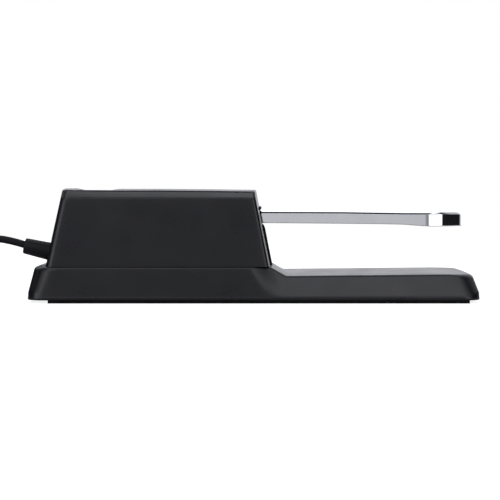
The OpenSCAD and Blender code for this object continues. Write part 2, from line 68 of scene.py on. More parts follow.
# How far the sides lean in, under the housing and beside the tongue
STEEP_LEAN = 1.8
STEEP_RISE = 14.4
SLANTED_LEAN = 4
BASE_END_R = 1000
BASE_CORNER_R = (9, 9)
RAMP_BULGE_R = 410
REAR_TILT = math.radians(14)
FRONT_TILT = math.radians(19.6)
BASE_TOP = [(-125, 19.1), (9.6, 19.1), (10.6, 18.8), (18.1, 14.6), (19.3, 14.3), (103, 15.1), (130, 15.1)]
SHELL_WALL = 2.4

# Housing
SEAM_Z = 19.1
CROWN_TOP_Z = 60
CROWN_R = 700
# How much higher than CROWN_TOP_Z the middle of the top is along X
CROWN_RISE = [(-120, 0.3), (-97, 0.3), (-78, 0.02), (-50, 0), (-20, -0.25), (5, -0.6)]
SIDE_PROFILE = [(42.2, SEAM_Z), (39, 55.5), (35, 59.12), (30, 59.36)]
HOUSING_FRONT = {"x": 9.35, "z": 18.8, "tilt": math.radians(11.4), "r": 600}
HOUSING_REAR = {"x": -111.8, "z": 19.1, "tilt": math.radians(12.57), "r": 362}
# Where along the top the height of each end's edge is taken
CROWN_REAR_X = -100
CROWN_FRONT_X = 5
GROOVE = [(-97.9, 60.5), (-96.2, 59.4), (-95.6, 59.35), (-76.2, 59.35), (-75.2, 59.4), (-71.7, 60.5)]
SLOT_HALF = 24
SLOT_TOP_Z = 48.8
SLOT_CORNER_R = 2.5
# The slot's rim, whose dark matt rubber is painted shade: how far it stands proud, and sinks beside the lever
RIM_LIFT = 1.2
RIM_SINK = 0.2

# Screw posts inside both mouldings
POST_R = 4
POST_FOOT_Z = 3.25
BORE_R = 1.5
BORE_TOP_Z = 9.25
POST_XY = [(x, y) for x in (-94, -9) for y in (-31, 31)]
TONGUE_POST_XY = [(x, y) for x in (40, 100) for y in (-30, 30)]

# Lever
LEVER_TOP = [(-95, 48.2), (48, 48.2), (80, 47.8), (100, 47.85), (108, 47.6), (115, 46.9)]
LEVER_FOOT = [(-95, 45.3), (-79, 45.3), (-74.5, 33.8), (-49.5, 33.8), (-45, 41.6), (9, 41.6), (47, 41.3),
              (68, 41.1), (80, 40.85), (87, 40.3), (93, 39.9), (115, 39.9)]
LEVER_UNDER_Z = 45.8
LEVER_WALL = 2
LEVER_CROWN_R = 420
LEVER_TAIL_X = -92
LEVER_TIP_X = 91.8
LEVER_TIP_R = 22
LEVER_EDGE_ARCS = [(0.3, 90, 50), (3.4, 50, 28), (0.25, 28, 0)]
PIVOT = (-62, 0, 40)

# Return spring
SPRING_X = -22
SPRING_FLOOR_Z = 6.3
SPRING_ROOF_Z = 43.8
SPRING_WIRE_R = 0.9
SPRING_R = 7
SPRING_TURNS = 8

# Cord
CORD_R = 2
EXIT_POINT = (-110.3, 0, 25.9)
# How far the boot sits below the middle of the exit hole
BOOT_DROP = 0.55
LEAD_ROUTE = [(-125.8, 0, 29.4), (-130, 0, 30.6), (-135, 0, 31.8), (-139.5, 0, 32.5),
              (-143.5, 0.3, 32.4), (-147.5, 1.2, 31.5), (-151.3, 3.3, 29.6), (-154.7, 6.4, 26.9),
              (-157.7, 10, 23.6), (-160.6, 13.6, 20.2), (-163.8, 16.9, 17.3), (-167.4, 19.6, 15.3),
              (-171, 21.8, 14.2)]
TAIL_ROUTE = [(-190, 26.3, 2.4), (-195, 26.3, 2.3), (-200, 26.3, 2.9), (-205, 26.3, 4.2),
              (-209, 26.3, 5.4), (-213, 26.3, 6), (-216.5, 26.3, 6)]
COIL_X = -186
COIL_RADII = (26.3, 22.5, 18.7)
COIL_LAYER_Z = (13.9, 10.1, 6.3, 2.5)
COIL_START = math.radians(60)
PLUG_REAR = (-216, 26.3, 6)

# Stage. Lengths are in metres, but the lens is in millimetres.
FLOOR_R = 1.1
CAMERA_PLACE = (-0.0021, -0.921, 0.0599)
CAMERA_DIP = math.radians(2.08)
CAMERA_LENS = 120.9


# ---------------------------------------------------------------- numbers

def mix(a, b, t):
    return a + (b - a) * t


def ease(low, high, x):
    """0 below low, 1 above high, and smooth between them."""
    t = max(0.0, min(1.0, (x - low) / (high - low)))
    return t * t * (3 - 2 * t)


def along(points, x):
    """Height at x of the line through the points."""
    for (x0, y0), (x1, y1) in zip(points, points[1:]):
        if x <= x1:
            return mix(y0, y1, (x - x0) / (x1 - x0))
    return points[-1][1]


def sag(radius, y):
    """How far a circle of that radius has dropped, a distance y from its highest point."""
    return radius - math.sqrt(radius * radius - y * y)


def rounded(corners, radii, steps):
    """The points of a line whose inner corners are rounded: one list for each piece between straights."""
    arcs = []
    for before, corner, after, radius in zip(corners, corners[1:], corners[2:], radii):
        corner = Vector(corner)
        back = (Vector(before) - corner).normalized()
        ahead = (Vector(after) - corner).normalized()
        half = back.angle(ahead) / 2
        centre = corner + (back + ahead).normalized() * radius / math.sin(half)
        start = corner + back * radius / math.tan(half) - centre
        end = corner + ahead * radius / math.tan(half) - centre
        arcs.append([centre + start.slerp(end, i / steps) for i in range(steps + 1)])
    return arcs


# ---------------------------------------------------------------- meshes

def mesh_object(name, vertices, faces, crease=40):
    """A mesh from points in millimetres, welded, facing outwards and smooth up to the crease angle."""
    data = bpy.data.meshes.new(name)
    data.from_pydata([Vector(v) * MM for v in vertices], [], faces)
    tidy = bmesh.new()
    tidy.from_mesh(data)
    bmesh.ops.remove_doubles(tidy, verts=tidy.verts, dist=2e-6)
    bmesh.ops.recalc_face_normals(tidy, faces=tidy.faces)
    tidy.to_mesh(data)
    tidy.free()
    obj = bpy.data.objects.new(name, data)
    bpy.context.scene.collection.objects.link(obj)
    smooth(obj, crease)
    return obj


def smooth(obj, crease):
    obj.data.shade_smooth()
    obj.data.set_sharp_from_angle(angle=math.radians(crease))


def grid_faces(rows, columns, close_columns=False):
    """Faces that join rows of points into a sheet, or into a tube if each row closes on itself."""
    faces = []
    for i in range(rows - 1):
        for j in range(columns if close_columns else columns - 1):
            a, b = i * columns, (i + 1) * columns
            k = (j + 1) % columns
            faces.append((a + j, a + k, b + k, b + j))
    return faces


def apply_modifiers(obj):
    depsgraph = bpy.context.evaluated_depsgraph_get()
    data = bpy.data.meshes.new_from_object(obj.evaluated_get(depsgraph), depsgraph=depsgraph)
    obj.modifiers.clear()
    obj.data = data


def combine(obj, operation, *tools):
    """Joins each closed tool to obj, or cuts it away, and removes the tool."""
    for tool in tools:
        modifier = obj.modifiers.new(operation, "BOOLEAN")
        modifier.operation = operation
        modifier.solver = "EXACT"
        modifier.object = tool
        apply_modifiers(obj)
        bpy.data.objects.remove(tool)
    return obj


def prism(name, outline, axis, low, high):
    """A closed solid with that outline, from low to high along X, Y or Z."""
    order = {"x": (2, 0, 1), "y": (0, 2, 1), "z": (0, 1, 2)}[axis]
    points = []
    for level in (low, high):
        for p in outline:
            place = (p[0], p[1], level)
            points.append([place[i] for i in order])
    n = len(outline)
    faces = [tuple(range(n)), tuple(range(n, 2 * n))] + grid_faces(2, n, close_columns=True)
    return mesh_object(name, points, faces)


def circle(x, y, radius, steps=48):
    angles = [math.tau * i / steps for i in range(steps)]
    return [(x + radius * math.cos(a), y + radius * math.sin(a)) for a in angles]


def lathe(name, profile, place, steps=64, shape=None, crease=40):
    """Turns (radius, height) points round Z and puts the result in its place. shape may change a radius."""
    points = []
    for radius, height in profile:
        for i in range(steps):
            a = math.tau * i / steps
            r = shape(radius, height, a) if shape else radius
            points.append(place @ Vector((r * math.cos(a), r * math.sin(a), height)))
    faces = grid_faces(len(profile), steps, close_columns=True)
    return mesh_object(name, points, faces, crease)


def tube(name, path, radius, sides=16):
    """A round tube with flat ends along close points."""
    points = []
    up = Vector((0, 0, 1))
    last = len(path) - 1
    for i, p in enumerate(path):
        heading = (path[min(i + 1, last)] - path[max(i - 1, 0)]).normalized()
        side = heading.cross(up).normalized()
        top = side.cross(heading)
        for k in range(sides):
            a = math.tau * k / sides
            points.append(p + radius * (math.cos(a) * side + math.sin(a) * top))
    faces = grid_faces(len(path), sides, close_columns=True)
    faces.append(tuple(range(sides)))
    faces.append(tuple(range(last * sides, (last + 1) * sides)))
    return mesh_object(name, points, faces, crease=50)


def moulding(name, levels, crown, top_steps, crease=40):
    """A closed moulded body from rings of (x, y, z), each one half of a plan from the middle of the rear
    to the middle of the front. The highest ring is covered by a sheet whose height is crown(x, y)."""
    columns = []
    for column in zip(*levels):
        x, y, z = column[-1]
        covered = list(column)
        for i in range(1, top_steps + 1):
            across = y * (1 - i / top_steps)
            covered.append((x, across, crown(x, across) if y > 0 else z))
        columns.append(covered)
    rows = [half + [(x, -y, z) for x, y, z in reversed(half[:-1])] for half in columns]
    points = [p for row in rows for p in row]
    faces = grid_faces(len(rows), len(rows[0]))
    width = len(rows[0])
    near_side = [i * width for i in range(len(rows))]
    far_side = [i * width + width - 1 for i in range(len(rows))]
    faces += [(far_side[i], far_side[i + 1], near_side[i + 1], near_side[i]) for i in range(len(rows) - 1)]
    return mesh_object(name, points, faces, crease)


def half_plan(rear, front, width, corner_r, sides, side_z, end_z, end_steps=14, corner_steps=8):
    """One half of a plan with round corners, as (x, y, z) points. rear(y) and front(y) are its ends,
    width(x) its half-width, and sides the places along it, from 0 to 1, of the points between corners."""
    corners = []
    for sign, end, radius in ((-1, rear, corner_r[0]), (1, front, corner_r[1])):
        y = width(end(0)) - radius
        slope = (end(y + 0.01) - end(y - 0.01)) / 0.02
        tilt = math.atan(abs(slope))
        x = end(y) - sign * radius * math.hypot(1, slope)
        arc = []
        for i in range(corner_steps + 1):
            a = mix(QUARTER, tilt, i / corner_steps)
            px, py = x + sign * radius * math.cos(a), y + radius * math.sin(a)
            arc.append((px, py, mix(side_z(px), end_z(px, py), i / corner_steps)))
        touch_y = arc[-1][1]
        flat = [touch_y * (1 - i / end_steps) for i in range(1, end_steps + 1)]
        corners.append((x, arc + [(end(v), v, end_z(x, v)) for v in flat]))
    (rear_x, rear_points), (front_x, front_points) = corners
    middle = [mix(rear_x, front_x, t) for t in sides]
    return rear_points[::-1] + [(x, width(x), side_z(x)) for x in middle] + front_points


def leaning_end(end, sign, y, z, shrink=0.0):
    """X of one of the housing's bulged, leaning ends. sign is 1 for the front and -1 for the rear."""
    bulge = -sag(end["r"], y)
    up = (z - end["z"] - bulge * math.sin(end["tilt"])) / math.cos(end["tilt"])
    out = bulge * math.cos(end["tilt"]) - up * math.sin(end["tilt"])
    return end["x"] + sign * (out - shrink)


# ---------------------------------------------------------------- materials

class Nodes:
    """Makes the nodes of one procedural material."""

    def __init__(self, name):
        self.material = bpy.data.materials.new(name)
        self.material.use_nodes = True
        self.tree = self.material.node_tree
        self.shader = self.tree.nodes["Principled BSDF"]
        self.place = self.add("ShaderNodeTexCoord").outputs["Object"]

    def add(self, kind, **settings):
        node = self.tree.nodes.new(kind)
        for key, value in settings.items():
            setattr(node, key, value)
        return node

    def feed(self, socket, value):
        if isinstance(value, bpy.types.NodeSocket):
            self.tree.links.new(value, socket)
        else:
            socket.default_value = value

    def noise(self, size, detail=3.0, stretch=(1, 1, 1), roughness=0.55):
        """Noise whose blobs are about size metres across."""
        mapping = self.add("ShaderNodeMapping")
        self.feed(mapping.inputs["Vector"], self.place)
        mapping.inputs["Scale"].default_value = [s / size for s in stretch]
        texture = self.add("ShaderNodeTexNoise")
        self.feed(texture.inputs["Vector"], mapping.outputs["Vector"])
        texture.inputs["Scale"].default_value = 1.0
        texture.inputs["Detail"].default_value = detail
        texture.inputs["Roughness"].default_value = roughness
        return texture.outputs["Fac"]

    def spread(self, value, low, high, start=0.3, end=0.7):
        """Maps the middle of a texture's range to low ... high."""
        node = self.add("ShaderNodeMapRange")
        for key, number in (("From Min", start), ("From Max", end), ("To Min", low), ("To Max", high)):
            node.inputs[key].default_value = number
        self.feed(node.inputs["Value"], value)
        return node.outputs["Result"]

    def blend(self, amount, first, second):
        node = self.add("ShaderNodeMix", data_type="RGBA")
        self.feed(node.inputs["Factor"], amount)
        self.feed(node.inputs["A"], first)
        self.feed(node.inputs["B"], second)
        return node.outputs["Result"]

    def bump(self, *layers):
        """Adds bumps, each (texture, height in metres)."""
        normal = None
        for texture, height in layers:
            node = self.add("ShaderNodeBump")
            node.inputs["Strength"].default_value = 1.0
            node.inputs["Distance"].default_value = height
            self.feed(node.inputs["Height"], texture)
            if normal:
                self.feed(node.inputs["Normal"], normal)
            normal = node.outputs["Normal"]
        self.feed(self.shader.inputs["Normal"], normal)

    def finish(self, **sockets):
        for key, value in sockets.items():
            self.feed(self.shader.inputs[key.replace("_", " ")], value)
        return self.material


def rgb(red, green, blue):
    return (red, green, blue, 1.0)


def plastic(name, dark, light, gloss, grain=0.00035, grain_height=0.000004, shine=0.5):
    """Moulded plastic with a fine spark-eroded texture, faint flow marks and uneven gloss."""
    n = Nodes(name)
    flow = n.noise(0.03, 4, stretch=(0.5, 1, 1.6))
    speckle = n.noise(grain, 2)
    waves = n.noise(0.012, 2)
    tone = n.blend(n.spread(flow, 0.0, 1.0), dark, light)
    tone = n.blend(n.spread(speckle, 0.0, 0.35), tone, light)
    n.bump((speckle, grain_height), (waves, grain_height * 2))
    gloss_map = n.spread(n.noise(0.018, 5), gloss[0], gloss[1])
    return n.finish(Base_Color=tone, Roughness=gloss_map, Specular_IOR_Level=shine)


def soft_rubber(name, dark, light, gloss, shine=0.25):
    """Rubber with a fine matt grain and a little dust in it."""
    n = Nodes(name)
    grain = n.noise(0.0005, 4)
    dust = n.noise(0.011, 6, roughness=0.7)
    tone = n.blend(n.spread(dust, 0.0, 1.0, 0.45, 0.75), dark, light)
    n.bump((grain, 0.00001))
    return n.finish(Base_Color=tone, Roughness=n.spread(grain, gloss[0], gloss[1]), Specular_IOR_Level=shine)


def metal(name, dark, light, gloss, stretch=(1, 1, 1), size=0.0006, height=0.0000008):
    """Metal with a directional or even surface finish and soft colour drift."""
    n = Nodes(name)
    grain = n.noise(size, 3, stretch=stretch)
    drift = n.noise(0.014, 4)
    tone = n.blend(n.spread(drift, 0.0, 1.0), dark, light)
    tone = n.blend(n.spread(grain, 0.0, 0.25), tone, dark)
    n.bump((grain, height))
    gloss_map = n.spread(n.noise(0.009, 5, roughness=0.65), gloss[0], gloss[1])
    return n.finish(Base_Color=tone, Roughness=gloss_map, Metallic=1.0)


def circuit_board(name):
    """Green solder mask with tracks under it."""
    n = Nodes(name)
    tracks = n.add("ShaderNodeTexBrick", offset=0.37, squash=1.0)
    n.feed(tracks.inputs["Vector"], n.place)
    tracks.inputs["Scale"].default_value = 260.0
    tracks.inputs["Mortar Size"].default_value = 0.07
    tracks.inputs["Color1"].default_value = rgb(0.01, 0.09, 0.03)
    tracks.inputs["Color2"].default_value = rgb(0.015, 0.12, 0.045)
    tracks.inputs["Mortar"].default_value = rgb(0.03, 0.2, 0.08)
    haze = n.noise(0.004, 4)
    tone = n.blend(n.spread(haze, 0.0, 0.3), tracks.outputs["Color"], rgb(0.02, 0.14, 0.05))
    n.bump((tracks.outputs["Fac"], 0.00002))
    return n.finish(Base_Color=tone, Roughness=n.spread(haze, 0.2, 0.35))


MATERIALS = {
    "black_plastic": plastic("Moulded black ABS", rgb(0.0022, 0.0026, 0.005),
                             rgb(0.0034, 0.0038, 0.0064), (0.26, 0.33)),
    "rubber": soft_rubber("Black rubber", rgb(0.0014, 0.0014, 0.0016), rgb(0.004, 0.004, 0.0045), (0.7, 0.9)),
    "steel": metal("Zinc-plated steel", rgb(0.42, 0.43, 0.45), rgb(0.62, 0.62, 0.6), (0.28, 0.45),
                   stretch=(0.08, 1, 1)),
    "chrome": metal("Chrome plate", rgb(0.86, 0.87, 0.89), rgb(0.93, 0.935, 0.945), (0.02, 0.055),
                    size=0.004, height=0.0000015),
    "nylon": plastic("Natural nylon", rgb(0.62, 0.59, 0.5), rgb(0.74, 0.72, 0.65), (0.35, 0.5)),
    "circuit_board": circuit_board("Circuit board"),
    "red_wire": plastic("Red wire insulation", rgb(0.42, 0.012, 0.01), rgb(0.55, 0.03, 0.02), (0.3, 0.45)),
    "cord_jacket": plastic("Black cord jacket", rgb(0.011, 0.0114, 0.013),
                           rgb(0.0155, 0.016, 0.018), (0.46, 0.58), grain=0.0006, shine=0.13),
    "boot": plastic("Satin boot rubber", rgb(0.0058, 0.0062, 0.0072), rgb(0.009, 0.0095, 0.011),
                    (0.45, 0.58), grain=0.0005, shine=0.22),
    "plug_plastic": plastic("Moulded plug plastic", rgb(0.008, 0.008, 0.009),
                            rgb(0.013, 0.013, 0.0145), (0.36, 0.48)),
    "plug_metal": metal("Nickel plate", rgb(0.6, 0.57, 0.52), rgb(0.72, 0.69, 0.64), (0.1, 0.2),
                        stretch=(0.1, 1, 1)),
}


def dress(obj, slot):
    """Gives obj the material of a slot."""
    obj.data.materials.clear()
    obj.data.materials.append(MATERIALS[slot])
    return obj


def install(obj, body, slot, *nodes, finish=None):
    """Puts a finished piece on its body, in place of the CAD nodes that it stands for."""
    dress(obj, finish or slot)
    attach(obj, body)
    if nodes:
        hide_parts(*nodes)
    return obj


# ---------------------------------------------------------------- camera and cord

def make_camera():
    data = bpy.data.cameras.new("camera")
    data.sensor_width = 36
    data.lens = CAMERA_LENS
    data.clip_start = 0.01
    data.clip_end = 30
    camera = bpy.data.objects.new("camera", data)
    camera.location = CAMERA_PLACE
    camera.rotation_euler = (QUARTER - CAMERA_DIP, 0, 0)
    bpy.context.scene.collection.objects.link(camera)
    bpy.context.scene.camera = camera


def coil_points(steps=30):
    """Centreline of the coil: layers of turns wound in, out, in and out again, from the top layer down.
    Each turn starts at COIL_START, and steps to its own radius and height over its first sixth."""
    turns = []
    for layer, z in enumerate(COIL_LAYER_Z):
        radii = COIL_RADII if layer % 2 == 0 else COIL_RADII[::-1]
        turns += [(radius, z) for radius in radii]
    points = []
    before = turns[0]
    for radius, z in turns:
        for i in range(steps):
            turned = i / steps
            t = ease(0, 1 / 6, turned)
            r, height = mix(before[0], radius, t), mix(before[1], z, t)
            a = COIL_START + math.tau * turned
            points.append(Vector((COIL_X + r * math.cos(a), r * math.sin(a), height)))
        before = (radius, z)
    last_r, last_z = turns[-1]
    for degrees in (60, 70, 80):
        a = math.radians(degrees)
        points.append(Vector((COIL_X + last_r * math.cos(a), last_r * math.sin(a), last_z)))
    return points


def make_cord():
    lead = [Vector(p) for p in LEAD_ROUTE]
    tail = [Vector(p) for p in TAIL_ROUTE]
    last_turn = Vector((COIL_X, COIL_RADII[0], COIL_LAYER_Z[-1]))
    route = lead + coil_points() + [last_turn] + tail
    data = bpy.data.curves.new("cord", "CURVE")
    data.dimensions = "3D"
    data.bevel_depth = CORD_R * MM
    data.bevel_resolution = 8
    data.resolution_u = 2
    data.use_fill_caps = True
    spline = data.splines.new("BEZIER")
    spline.bezier_points.add(len(route) - 1)
    for place, knot in zip(route, spline.bezier_points):
        knot.co = place * MM
        knot.handle_left_type = "AUTO"
        knot.handle_right_type = "AUTO"
    cord = bpy.data.objects.new("cord", data)
    bpy.context.scene.collection.objects.link(cord)
    return cord


def make_strain_relief():
    """Tapered boot with a round outer rim, seen from its flange inside the wall to the cord."""
    profile = [(0.0, -7.4), (2.7, -7.4), (3.0, -7.1), (3.0, -4.55), (5.7, -4.55), (6.1, -4.2),
               (6.1, -2.9), (5.8, -2.55), (4.95, -2.55), (4.95, 0.4)]
    profile += [(mix(4.95, 4.7, ease(0, 1, t / 4)), mix(0.4, 6.4, t / 4)) for t in range(1, 5)]
    profile += [(mix(4.7, 4.3, t / 4), mix(6.4, 15.2, t / 4)) for t in range(1, 5)]
    rim = [QUARTER * i / 5 for i in range(6)]
    profile += [(3.6 + 0.7 * math.cos(a), 15.2 + 0.7 * math.sin(a)) for a in rim]
    profile += [(2.35, 15.9), (2.05, 15.65), (1.95, 14.8), (0.0, 14.8)]
    lean = HOUSING_REAR["tilt"] - QUARTER
    place = Matrix.Translation(EXIT_POINT) @ Matrix.Rotation(lean, 4, "Y")
    place = Matrix.Translation((0, 0, -BOOT_DROP)) @ place
    return lathe("strain_relief_boot", profile, place, crease=35)


def grip(radius, height, angle):
    """Flutes along the middle of the plug's handle."""
    depth = 0.28 * ease(15, 18, height) * (1 - ease(32, 35, height))
    return radius - depth * (0.5 + 0.5 * math.cos(18 * angle)) ** 2


def make_plug_handle():
    """Handle with a ribbed bend relief at its rear."""
    profile = [(0.0, 0.0), (2.3, 0.0), (2.6, 0.3)]
    for i in range(5):
        start = 0.9 + 1.8 * i
        radius = 2.7 + 0.19 * i
        profile += [(radius, start), (radius + 0.1, start + 1.05), (radius - 0.35, start + 1.15),
                    (radius - 0.35, start + 1.7)]
    profile += [(3.6, 10.0), (4.6, 10.3), (5.35, 11.1), (5.8, 12.6), (6.0, 14.4), (6.0, 15.2)]
    profile += [(6.0, 15.2 + 0.75 * i) for i in range(1, 27)]
    profile += [(6.0, 36.6), (5.9, 37.6), (5.62, 38.7), (5.25, 39.6), (4.7, 39.95), (0.0, 40.0)]
    place = Matrix.Translation(PLUG_REAR) @ Matrix.Rotation(-QUARTER, 4, "Y")
    return lathe("plug_handle_grip", profile, place, steps=144, shape=grip, crease=32)


def make_cord_tie():
    """A hook-and-loop strap round the coil's turns, whose ends meet on the outside."""
    thick, thinner_rim = 0.6, 0.12
    inner, outer, top = 16.8, 28.2, 15.8
    corners = [(outer, 8.0), (outer, top), (inner, top), (inner, thick), (outer, thick), (outer, 8.2)]
    inside = [Vector(corners[0])]
    for arc in rounded(corners, [1.9] * 4, 6):
        inside += arc
    inside.append(Vector(corners[-1]))
    middle = Vector(((inner + outer) / 2, 8.2))
    strip = []
    for i, p in enumerate(inside):
        ahead = inside[min(i + 1, len(inside) - 1)] - inside[max(i - 1, 0)]
        out = Vector((ahead.y, -ahead.x)).normalized()
        out = out if out.dot(p - middle) > 0 else -out
        strip.append((p, out))
    widths = [-4.5, -4.2, -2.1, 0.0, 2.1, 4.2, 4.5]
    points = []
    for p, out in strip:
        ring = [(w, 0.0) for w in widths]
        ring += [(w, thick - (thinner_rim if abs(w) > 4.3 else 0)) for w in reversed(widths)]
        for w, lift in ring:
            radius, z = p + out * lift
            a = w / COIL_RADII[1]
            points.append((COIL_X + radius * math.sin(a), -radius * math.cos(a), max(z, 0.0)))
    count = len(widths) * 2
    faces = grid_faces(len(strip), count, close_columns=True)
    faces.append(tuple(range(count)))
    faces.append(tuple(range((len(strip) - 1) * count, len(strip) * count)))
    return mesh_object("cord_tie_strap", points, faces)


make_camera()
cord = install(make_cord(), "root", "cord_jacket", "cord_lead", "cord_coil", "cord_tail")
boot = install(make_strain_relief(), "root", "rubber", "strain_relief", finish="boot")
handle = install(make_plug_handle(), "root", "plug_plastic", "plug_handle")
tie = install(make_cord_tie(), "root", "rubber", "cord_tie")


# ---------------------------------------------------------------- base

def base_top(x, y):
    """Height of the base's top. The ramp to the tongue bulges forwards, as the housing's front does."""
    return along(BASE_TOP, x + sag(RAMP_BULGE_R, min(y, BASE_HALF_W)))


def base_inset(x, z):
    """How far the side has leaned in at that height. The steep sides under the housing turn into the
    tongue's slanted ones, further forward the lower down."""
    rise = z - WALL_FOOT_Z
    steep = STEEP_LEAN * rise / STEEP_RISE
    slanted = SLANTED_LEAN * rise / (along(BASE_TOP, max(x, 20)) - WALL_FOOT_Z)
    shift = 0.5 * (12 - z)
    return mix(steep, slanted, ease(shift + 0.5, shift + 14, x))


def base_body(name, edge_r, nose_r, tail_r, shrink, floor_z):
    """The base's outer form, or with shrink the space inside it. edge_r rounds the sides' top edge,
    nose_r the front's and tail_r the rear's."""
    sides = [i / 24 * 0.44 for i in range(1, 24)] + [0.44 + 0.24 * i / 60 for i in range(61)]
    sides += [0.68 + 0.32 * i / 24 for i in range(1, 24)]
    drop = 2.5 if shrink else 0

    def round_r(x):
        return edge_r + (nose_r - edge_r) * ease(104, 117, x) + (tail_r - edge_r) * ease(104, 117, -x)

    def foot(z, step):
        end = BASE_HALF_L - shrink - step
        corner_r = [r - shrink * 0.9 - step for r in BASE_CORNER_R]
        return half_plan(lambda y: sag(BASE_END_R, y) - end, lambda y: end - NOSE_TRIM - sag(BASE_END_R, y),
                         lambda x: BASE_HALF_W - shrink - step, corner_r, sides,
                         lambda x: z, lambda x, y: z, corner_steps=10)

    def ring(rise, turn):
        def wall_z(x, y):
            return mix(WALL_FOOT_Z, base_top(x, y) - drop - round_r(x), rise)

        def height(x, y):
            return wall_z(x, y) + round_r(x) * math.sin(turn)

        def lean_z(x, y):
            return mix(wall_z(x, y), height(x, y), 0.5)

        def pull(x):
            return round_r(x) * (1 - math.cos(turn))

        def end(sign, tilt):
            lean = math.tan(tilt) * max(0.0, lean_z(sign * END_X, 0) - END_FOOT_Z)
            reach = BASE_HALF_L - NOSE_TRIM * (sign > 0) - END_STEP - shrink - lean - pull(sign * END_X)
            return lambda y: sign * (reach - sag(BASE_END_R, y))

        def width(x):
            return BASE_HALF_W - LIP_STEP - shrink - base_inset(x, lean_z(x, BASE_HALF_W)) - pull(x)

        corner_r = [r - shrink * 0.9 + 0.15 * (lean_z(sign * END_X, 0) - WALL_FOOT_Z)
                    for sign, r in zip((-1, 1), BASE_CORNER_R)]
        plan = half_plan(end(-1, REAR_TILT), end(1, FRONT_TILT), width, corner_r, sides,
                         lambda x: 0.0, lambda x, y: 0.0, corner_steps=10)
        return [(x, y, height(x, y)) for x, y, _ in plan]

    if shrink:
        levels = [foot(floor_z, LIP_STEP), foot(WALL_FOOT_Z - 0.1, LIP_STEP)]
    else:
        levels = [foot(floor_z, 0.3), foot(floor_z + 0.08, 0.08), foot(floor_z + 0.3, 0.0),
                  foot(LIP_TOP_Z - 0.25, 0.0), foot(LIP_TOP_Z - 0.06, 0.06), foot(LIP_TOP_Z, 0.2)]
    levels += [ring(i / 10, 0.0) for i in range(11)]
    levels += [ring(1.0, QUARTER * i / 8) for i in range(1, 9)]
    return moulding(name, levels, lambda x, y: base_top(x, abs(y)) - drop, 12)


def make_base():
    base = base_body("base_moulding", 1.1, 2.8, 2.0, 0, SOLE_TOP_Z)
    cavity = base_body("cavity", 0.8, 0.8, 0.8, 2.75, 0.5)
    throat = prism("throat", [(-109, -38.4), (4, -38.4), (4, 38.4), (-109, 38.4)], "z", 10, 30)
    combine(base, "DIFFERENCE", cavity, throat)
    posts = [prism("post", circle(x, y, POST_R), "z", POST_FOOT_Z, 12.4) for x, y in TONGUE_POST_XY]
    ribs = [prism("rib", [(x, -30), (x + 2.4, -30), (x + 2.4, 30), (x, 30)], "z", 6.25, 12.4)
            for x in (26, 55, 85)]
    bores = [prism("bore", circle(x, y, BORE_R, 24), "z", 0, BORE_TOP_Z) for x, y in TONGUE_POST_XY]
    combine(base, "UNION", *posts, *ribs)
    combine(base, "DIFFERENCE", *bores)
    smooth(base, 32)
    return base


# ---------------------------------------------------------------- housing

def crown_z(x, y, shrink=0.0):
    """Height of the housing's top, which is a little higher at the rear than at the front."""
    return CROWN_TOP_Z + along(CROWN_RISE, x) - shrink - sag(CROWN_R, y)


def housing_body(name, shrink, foot_z):
    """The housing's outer form, or with shrink the space inside it."""
    foot, bevel, shoulder, top = SIDE_PROFILE
    if shrink:
        profile = [(foot[0] - shrink, foot_z), (bevel[0] - shrink, bevel[1]),
                   (shoulder[0] - 0.7 * shrink, shoulder[1] - shrink), (top[0], top[1] - shrink)]
    else:
        profile = SIDE_PROFILE
    low_arc, high_arc = rounded(profile, [1.6, 1.6], 6)
    side_points = [Vector(profile[0]).lerp(low_arc[0], i / 12) for i in range(12)] + low_arc
    high_arc[-1].y = CROWN_TOP_Z - shrink - sag(CROWN_R, high_arc[-1].x)
    edge_r = 0.8
    sides = [i / 36 for i in range(1, 36)]
    corner_r = [1.8, 0.8] if shrink else [4.0, 2.0]
    levels = []
    for i, point in enumerate(side_points + high_arc):
        turn = QUARTER * (i - len(side_points)) / 6 if i >= len(side_points) else None
        pull = edge_r * (1 - math.cos(turn)) if turn is not None else 0.0

        def side_z(x, z=point.y, turn=turn):
            return z if turn is None else z + along(CROWN_RISE, x)

        def end_z(x, y, z=point.y, turn=turn):
            return z if turn is None else crown_z(x, y, shrink) - edge_r * (1 - math.sin(turn))

        def rear(y, end_z=end_z, pull=pull):
            return leaning_end(HOUSING_REAR, -1, y, end_z(CROWN_REAR_X, y), shrink + pull)

        def front(y, end_z=end_z, pull=pull):
            return leaning_end(HOUSING_FRONT, 1, y, end_z(CROWN_FRONT_X, y), shrink + pull)

        levels.append(half_plan(rear, front, lambda x, w=point.x: w, corner_r, sides, side_z, end_z))
    return moulding(name, levels, lambda x, y: crown_z(x, y, shrink), 10, crease=30)


def slot_line(grow, foot_z, steps=6):
    """The slot's outline in (y, z), grown by some millimetres, from one foot over the top to the other."""
    half, top, radius = SLOT_HALF + grow, SLOT_TOP_Z + grow, SLOT_CORNER_R + grow
    line = [(-half, foot_z + (top - radius - foot_z) * i / 24) for i in range(24)]
    for sign, first in ((-1, math.pi), (1, QUARTER)):
        for i in range(steps + 1):
            a = first - QUARTER * i / steps
            line.append((sign * (half - radius) + radius * math.cos(a), top - radius + radius * math.sin(a)))
        if sign < 0:
            line += [((half - radius) * (i / 8 - 1), top) for i in range(1, 16)]
    line += [(half, foot_z + (top - radius - foot_z) * (1 - i / 24)) for i in range(1, 25)]
    return line


